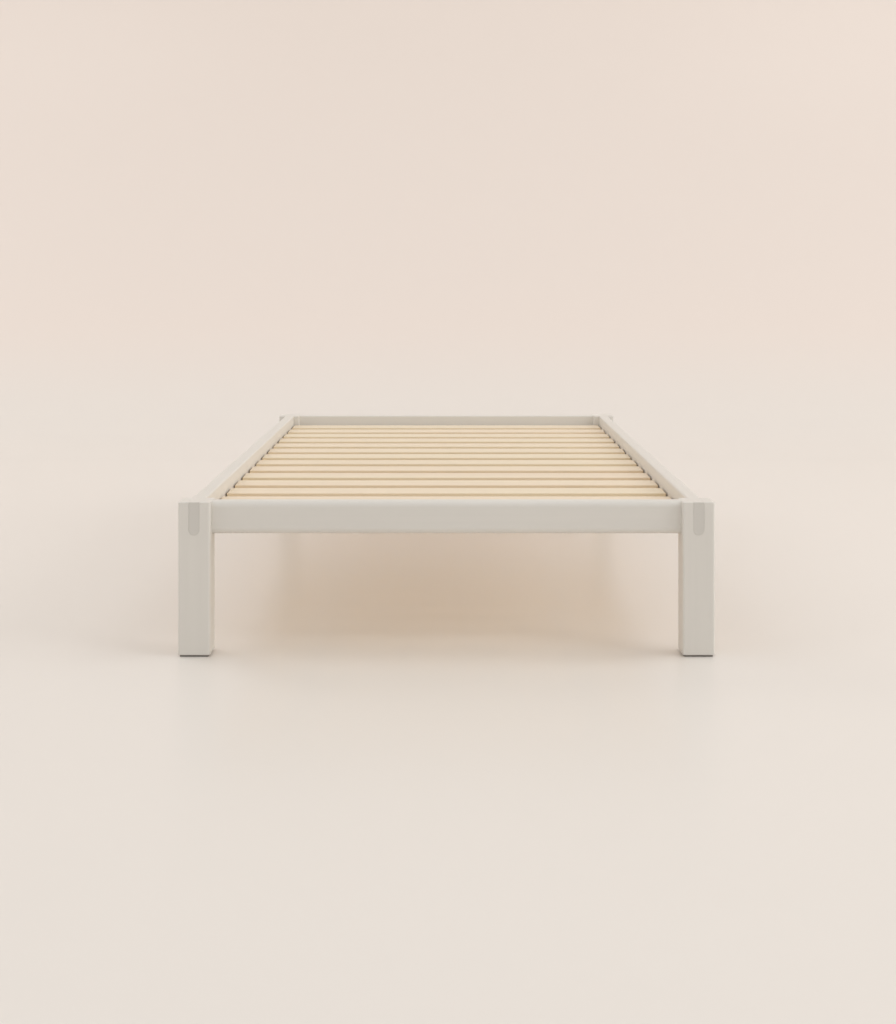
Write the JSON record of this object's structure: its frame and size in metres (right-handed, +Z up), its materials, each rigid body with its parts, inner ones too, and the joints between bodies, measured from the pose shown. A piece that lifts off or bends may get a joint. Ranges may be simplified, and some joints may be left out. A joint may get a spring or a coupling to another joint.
{
  "type": "toddler floor bed",
  "caption": "Low wooden bed frame with square legs, slotted-in side rails and a lift-out slatted base for a crib mattress.",
  "frame": {"origin": "on the floor, in the middle of the bed's footprint", "axes": "+X to the right seen from the foot end, +Y along the bed from the foot end to the head end, +Z up"},
  "size_m": [0.788, 1.403, 0.227],
  "materials": {
    "frame_paint": "satin greige paint on solid wood",
    "slat_wood": "bare planed pine, unfinished",
    "dowel_beech": "bare turned beech",
    "pad_rubber": "matt",
    "fastener_zinc": "zinc plated",
    "staple_wire": "galvanised wire",
    "strap_webbing": "plain woven cotton webbing"
  },
  "bodies": {
    "frame": {"leg_front_left": "frame_paint", "leg_front_right": "frame_paint", "leg_rear_left": "frame_paint", "leg_rear_right": "frame_paint", "end_rail_front": "frame_paint", "end_rail_rear": "frame_paint", "side_rail_left": "frame_paint", "side_rail_right": "frame_paint", "slat_ledge_left": "slat_wood", "slat_ledge_right": "slat_wood", "foot_pad_front_left": "pad_rubber", "foot_pad_front_right": "pad_rubber", "foot_pad_rear_left": "pad_rubber", "foot_pad_rear_right": "pad_rubber", "ledge_screws_left": "fastener_zinc", "ledge_screws_right": "fastener_zinc", "rail_bolts": "fastener_zinc", "barrel_nuts": "fastener_zinc", "rail_dowels": "dowel_beech"},
    "slatted_base": {"slat_01": "slat_wood", "slat_02": "slat_wood", "slat_03": "slat_wood", "slat_04": "slat_wood", "slat_05": "slat_wood", "slat_06": "slat_wood", "slat_07": "slat_wood", "slat_08": "slat_wood", "slat_09": "slat_wood", "slat_10": "slat_wood", "slat_11": "slat_wood", "slat_12": "slat_wood", "slat_13": "slat_wood", "slat_14": "slat_wood", "slat_strap_left": "strap_webbing", "slat_strap_right": "strap_webbing", "strap_staples_left": "staple_wire", "strap_staples_right": "staple_wire"}
  },
  "joints": [
    {"name": "slatted_base_lift", "type": "slide", "parent": "frame", "child": "slatted_base", "axis": [0, 0, 1], "range_m": [0, 0.12]}
  ]
}
